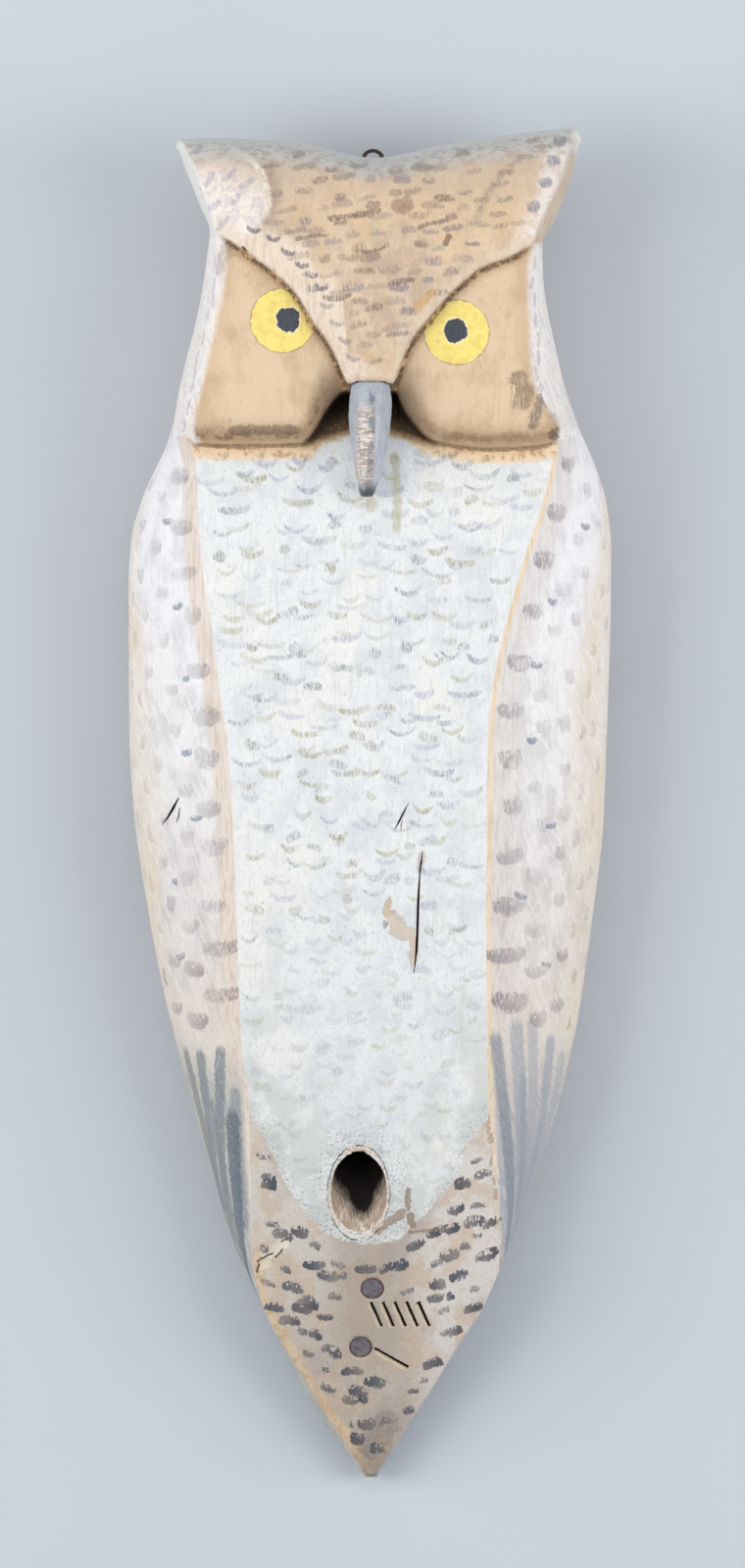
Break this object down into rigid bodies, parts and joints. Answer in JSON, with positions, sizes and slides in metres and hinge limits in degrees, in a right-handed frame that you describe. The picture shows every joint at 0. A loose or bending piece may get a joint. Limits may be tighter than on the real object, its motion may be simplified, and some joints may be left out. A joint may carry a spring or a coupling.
{
  "type": "carved owl decoy",
  "caption": "Long owl decoy carved from a single block of painted wood, with ears, sunk face discs, an inserted beak, a pointed tail, a slanted pole socket and a wire hanging eye.",
  "frame": {"origin": "middle of the footprint, on the surface that the flat back rests on", "axes": "+Y from the tail to the ears, +Z out of the breast, +X to the right as the owl is seen from the front"},
  "size_m": [0.2181, 0.6104, 0.1285],
  "materials": {
    "painted_wood": "worn matt paint on wood",
    "beak_paint": "slate paint, worn to wood on the ridge",
    "nail_steel": "dull and stained",
    "rusty_wire": "rusty"
  },
  "bodies": {
    "root": {"owl_body": "painted_wood", "beak": "beak_paint", "nail_upper": "nail_steel", "nail_lower": "nail_steel", "hanging_eye": "rusty_wire"}
  },
  "joints": []
}
